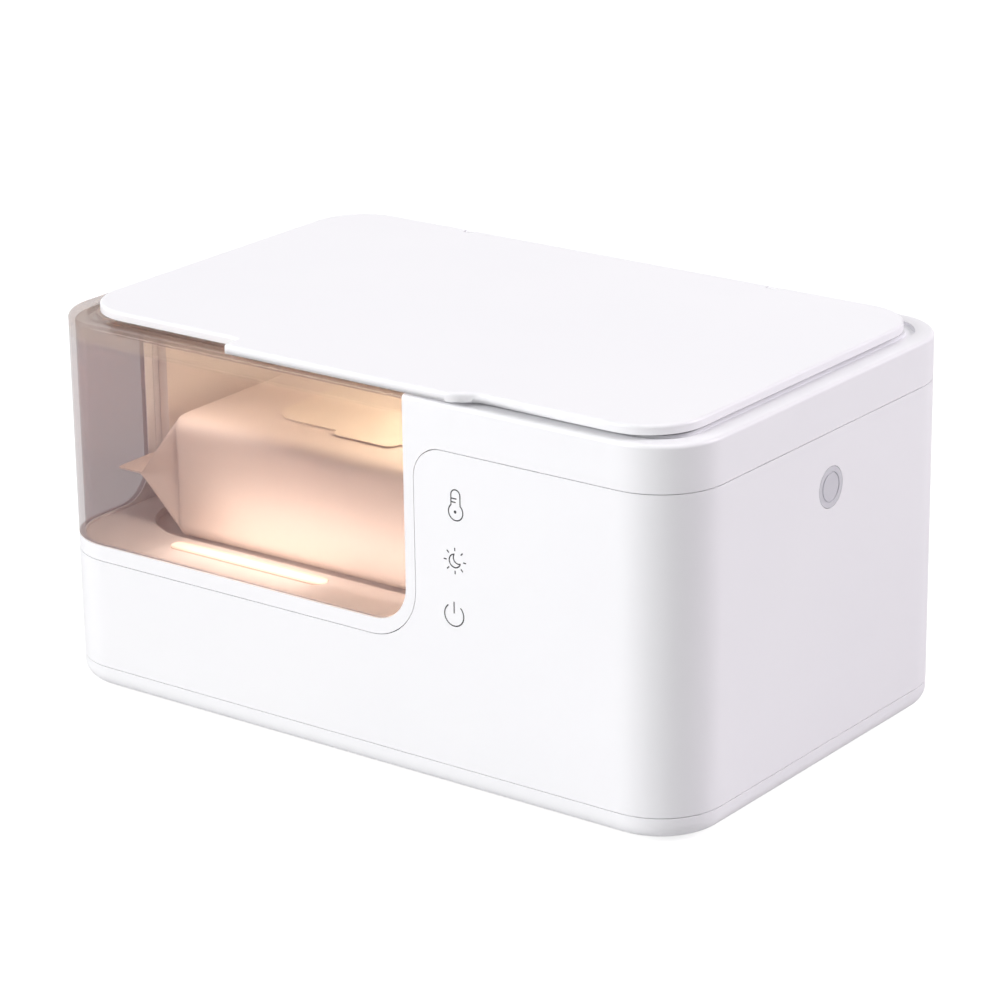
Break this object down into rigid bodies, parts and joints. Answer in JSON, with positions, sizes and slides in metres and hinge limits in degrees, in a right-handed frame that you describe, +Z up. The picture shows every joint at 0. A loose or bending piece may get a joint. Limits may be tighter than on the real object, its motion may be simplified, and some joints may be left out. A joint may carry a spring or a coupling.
{
  "type": "baby wipe warmer",
  "caption": "Box-shaped wipe warmer with a hinged flat lid, a smoked corner window, a lit heated chamber and a soft pack of wipes inside.",
  "frame": {"origin": "on the surface it stands on, under the centre of the bounding box", "axes": "+X to the right along the length, -Y to the front with the touch controls, +Z up"},
  "size_m": [0.285, 0.182, 0.149],
  "materials": {
    "white_casing": "white moulded ABS with a soft satin gloss",
    "inner_plastic": "warm white moulded plastic, satin",
    "smoked_clear": "clear plastic with a light smoke tint, polished",
    "bare_aluminium": "plain rolled sheet",
    "heater_film": "amber polyimide film",
    "foam": "closed-cell foam",
    "plated_steel": "zinc plated",
    "lit_diffuser": "opal plastic, lit from below",
    "circuit_board": "solder-mask green",
    "led_package": "white LED package",
    "dark_plastic": "black moulded plastic",
    "grey_rubber": "grey rubber",
    "grey_print": "light grey plastic",
    "pale_silicone": "pale silicone",
    "pack_film": "plain laminated film, cream",
    "label_film": "resealable label film, cream"
  },
  "bodies": {
    "body": {"base_cover": "white_casing", "base_screws": "plated_steel", "board_components": "dark_plastic", "bracket_screws": "plated_steel", "chamber_wall": "inner_plastic", "feet": "grey_rubber", "heater_bracket": "plated_steel", "heater_film": "heater_film", "heating_plate": "bare_aluminium", "hinge_pins": "plated_steel", "insulation_pad": "foam", "light_board": "circuit_board", "light_diffuser": "lit_diffuser", "light_leds": "led_package", "lower_housing": "white_casing", "main_board": "circuit_board", "pack_label": "label_film", "pan_tray": "inner_plastic", "power_jack": "dark_plastic", "side_insert": "grey_print", "thermistor": "dark_plastic", "thermostat": "bare_aluminium", "touch_board": "circuit_board", "touch_springs": "plated_steel", "upper_frame": "white_casing", "window": "smoked_clear", "wipe_pack": "pack_film"},
    "lid": {"lid_cover": "white_casing", "lid_liner": "inner_plastic", "lid_gasket": "pale_silicone"}
  },
  "joints": [
    {"name": "lid_hinge", "type": "hinge", "parent": "body", "child": "lid", "pos_m": [0, 0.0788, 0.1473], "axis": [-1, 0, 0], "range_deg": [0, 100]}
  ]
}
